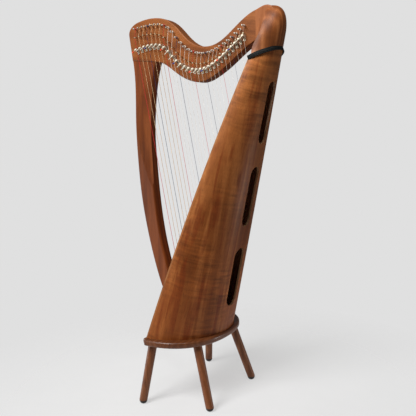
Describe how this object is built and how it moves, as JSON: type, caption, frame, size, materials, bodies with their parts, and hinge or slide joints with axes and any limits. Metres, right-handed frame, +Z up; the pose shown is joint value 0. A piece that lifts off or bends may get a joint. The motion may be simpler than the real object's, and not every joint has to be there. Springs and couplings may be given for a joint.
{
  "type": "lever harp",
  "caption": "Round-backed lever harp on four splayed legs: curved neck and pillar, tapering soundbox with slotted back, strings, tuning pins and sharping levers.",
  "frame": {"origin": "on the floor, under the middle of the harp's outline", "axes": "+X from the pillar to the player's side, +Y to the player's right, +Z up"},
  "size_m": [0.5412, 0.3962, 1.178],
  "materials": {
    "walnut_neck": "satin lacquer",
    "walnut_shoulder": "satin lacquer",
    "walnut_pillar": "satin lacquer",
    "walnut_back": "satin lacquer, light cross figure",
    "soundboard_wood": "satin lacquer",
    "walnut_base": "satin lacquer",
    "walnut_leg": "satin lacquer",
    "inner_wood": "raw sanded softwood",
    "strap_rubber": "matt black",
    "pad_rubber": "matt black",
    "nickel": "nickel plated, polished",
    "lever_metal": "nickel plated, satin",
    "brass": "polished",
    "steel": "zinc plated",
    "string_red": "coloured nylon",
    "string_blue": "coloured nylon",
    "string_bronze": "bronze winding on a nylon core",
    "string_clear": "clear nylon"
  },
  "bodies": {
    "harp": {"neck": "walnut_neck", "shoulder_block": "walnut_shoulder", "pillar": "walnut_pillar", "joint_dowels": "inner_wood", "soundbox_back": "walnut_back", "soundboard": "soundboard_wood", "string_rib": "walnut_base", "inner_rib": "inner_wood", "side_linings": "inner_wood", "back_braces": "inner_wood", "tail_block": "inner_wood", "strap": "strap_rubber", "base_plate": "walnut_base", "base_screws": "steel", "leg_front_left": "walnut_leg", "leg_front_right": "walnut_leg", "leg_rear_left": "walnut_leg", "leg_rear_right": "walnut_leg", "foot_pads": "pad_rubber", "leg_studs": "steel", "leg_inserts": "brass", "tuning_pins": "nickel", "bridge_pins": "brass", "strings_red": "string_red", "strings_blue": "string_blue", "strings_wound": "string_bronze", "strings_nylon": "string_clear", "string_eyelets": "brass", "string_knots": "inner_wood", "lever_brackets": "lever_metal", "lever_pivots": "steel", "lever_screws": "brass"},
    "lever_01": {"lever_01": "lever_metal"},
    "lever_02": {"lever_02": "lever_metal"},
    "lever_03": {"lever_03": "lever_metal"},
    "lever_04": {"lever_04": "lever_metal"},
    "lever_05": {"lever_05": "lever_metal"},
    "lever_06": {"lever_06": "lever_metal"},
    "lever_07": {"lever_07": "lever_metal"},
    "lever_08": {"lever_08": "lever_metal"},
    "lever_09": {"lever_09": "lever_metal"},
    "lever_10": {"lever_10": "lever_metal"},
    "lever_11": {"lever_11": "lever_metal"},
    "lever_12": {"lever_12": "lever_metal"},
    "lever_13": {"lever_13": "lever_metal"},
    "lever_14": {"lever_14": "lever_metal"},
    "lever_15": {"lever_15": "lever_metal"},
    "lever_16": {"lever_16": "lever_metal"},
    "lever_17": {"lever_17": "lever_metal"},
    "lever_18": {"lever_18": "lever_metal"},
    "lever_19": {"lever_19": "lever_metal"},
    "lever_20": {"lever_20": "lever_metal"},
    "lever_21": {"lever_21": "lever_metal"},
    "lever_22": {"lever_22": "lever_metal"},
    "lever_23": {"lever_23": "lever_metal"},
    "lever_24": {"lever_24": "lever_metal"},
    "lever_25": {"lever_25": "lever_metal"},
    "lever_26": {"lever_26": "lever_metal"},
    "lever_27": {"lever_27": "lever_metal"},
    "lever_28": {"lever_28": "lever_metal"}
  },
  "joints": [
    {"name": "lever_01_flip", "type": "hinge", "parent": "harp", "child": "lever_01", "pos_m": [-0.23534, -0.0311, 1.08749], "axis": [-1, 0, 0], "range_deg": [0, 85]},
    {"name": "lever_02_flip", "type": "hinge", "parent": "harp", "child": "lever_02", "pos_m": [-0.21903, -0.03108, 1.09075], "axis": [-1, 0, 0], "range_deg": [0, 85]},
    {"name": "lever_03_flip", "type": "hinge", "parent": "harp", "child": "lever_03", "pos_m": [-0.20286, -0.03107, 1.09319], "axis": [-1, 0, 0], "range_deg": [0, 85]},
    {"name": "lever_04_flip", "type": "hinge", "parent": "harp", "child": "lever_04", "pos_m": [-0.18686, -0.03105, 1.09476], "axis": [-1, 0, 0], "range_deg": [0, 85]},
    {"name": "lever_05_flip", "type": "hinge", "parent": "harp", "child": "lever_05", "pos_m": [-0.17101, -0.03104, 1.09537], "axis": [-1, 0, 0], "range_deg": [0, 85]},
    {"name": "lever_06_flip", "type": "hinge", "parent": "harp", "child": "lever_06", "pos_m": [-0.15532, -0.03102, 1.0946], "axis": [-1, 0, 0], "range_deg": [0, 85]},
    {"name": "lever_07_flip", "type": "hinge", "parent": "harp", "child": "lever_07", "pos_m": [-0.13978, -0.03101, 1.09141], "axis": [-1, 0, 0], "range_deg": [0, 85]},
    {"name": "lever_08_flip", "type": "hinge", "parent": "harp", "child": "lever_08", "pos_m": [-0.1244, -0.03099, 1.08373], "axis": [-1, 0, 0], "range_deg": [0, 85]},
    {"name": "lever_09_flip", "type": "hinge", "parent": "harp", "child": "lever_09", "pos_m": [-0.10917, -0.03098, 1.07024], "axis": [-1, 0, 0], "range_deg": [0, 85]},
    {"name": "lever_10_flip", "type": "hinge", "parent": "harp", "child": "lever_10", "pos_m": [-0.0941, -0.03096, 1.05382], "axis": [-1, 0, 0], "range_deg": [0, 85]},
    {"name": "lever_11_flip", "type": "hinge", "parent": "harp", "child": "lever_11", "pos_m": [-0.07919, -0.03095, 1.03939], "axis": [-1, 0, 0], "range_deg": [0, 85]},
    {"name": "lever_12_flip", "type": "hinge", "parent": "harp", "child": "lever_12", "pos_m": [-0.06443, -0.03093, 1.02806], "axis": [-1, 0, 0], "range_deg": [0, 85]},
    {"name": "lever_13_flip", "type": "hinge", "parent": "harp", "child": "lever_13", "pos_m": [-0.04983, -0.03092, 1.01956], "axis": [-1, 0, 0], "range_deg": [0, 85]},
    {"name": "lever_14_flip", "type": "hinge", "parent": "harp", "child": "lever_14", "pos_m": [-0.03538, -0.0309, 1.01347], "axis": [-1, 0, 0], "range_deg": [0, 85]},
    {"name": "lever_15_flip", "type": "hinge", "parent": "harp", "child": "lever_15", "pos_m": [-0.02109, -0.03089, 1.00946], "axis": [-1, 0, 0], "range_deg": [0, 85]},
    {"name": "lever_16_flip", "type": "hinge", "parent": "harp", "child": "lever_16", "pos_m": [-0.00696, -0.03087, 1.0074], "axis": [-1, 0, 0], "range_deg": [0, 85]},
    {"name": "lever_17_flip", "type": "hinge", "parent": "harp", "child": "lever_17", "pos_m": [0.00702, -0.03086, 1.00733], "axis": [-1, 0, 0], "range_deg": [0, 85]},
    {"name": "lever_18_flip", "type": "hinge", "parent": "harp", "child": "lever_18", "pos_m": [0.02084, -0.03084, 1.00938], "axis": [-1, 0, 0], "range_deg": [0, 85]},
    {"name": "lever_19_flip", "type": "hinge", "parent": "harp", "child": "lever_19", "pos_m": [0.03451, -0.03083, 1.01341], "axis": [-1, 0, 0], "range_deg": [0, 85]},
    {"name": "lever_20_flip", "type": "hinge", "parent": "harp", "child": "lever_20", "pos_m": [0.04802, -0.03081, 1.01906], "axis": [-1, 0, 0], "range_deg": [0, 85]},
    {"name": "lever_21_flip", "type": "hinge", "parent": "harp", "child": "lever_21", "pos_m": [0.06137, -0.0308, 1.02598], "axis": [-1, 0, 0], "range_deg": [0, 85]},
    {"name": "lever_22_flip", "type": "hinge", "parent": "harp", "child": "lever_22", "pos_m": [0.07457, -0.03078, 1.0338], "axis": [-1, 0, 0], "range_deg": [0, 85]},
    {"name": "lever_23_flip", "type": "hinge", "parent": "harp", "child": "lever_23", "pos_m": [0.08761, -0.03077, 1.04223], "axis": [-1, 0, 0], "range_deg": [0, 85]},
    {"name": "lever_24_flip", "type": "hinge", "parent": "harp", "child": "lever_24", "pos_m": [0.1005, -0.03076, 1.05108], "axis": [-1, 0, 0], "range_deg": [0, 85]},
    {"name": "lever_25_flip", "type": "hinge", "parent": "harp", "child": "lever_25", "pos_m": [0.11323, -0.03074, 1.06018], "axis": [-1, 0, 0], "range_deg": [0, 85]},
    {"name": "lever_26_flip", "type": "hinge", "parent": "harp", "child": "lever_26", "pos_m": [0.12581, -0.03073, 1.06933], "axis": [-1, 0, 0], "range_deg": [0, 85]},
    {"name": "lever_27_flip", "type": "hinge", "parent": "harp", "child": "lever_27", "pos_m": [0.13822, -0.03071, 1.07834], "axis": [-1, 0, 0], "range_deg": [0, 85]},
    {"name": "lever_28_flip", "type": "hinge", "parent": "harp", "child": "lever_28", "pos_m": [0.15049, -0.0307, 1.08635], "axis": [-1, 0, 0], "range_deg": [0, 85]}
  ]
}
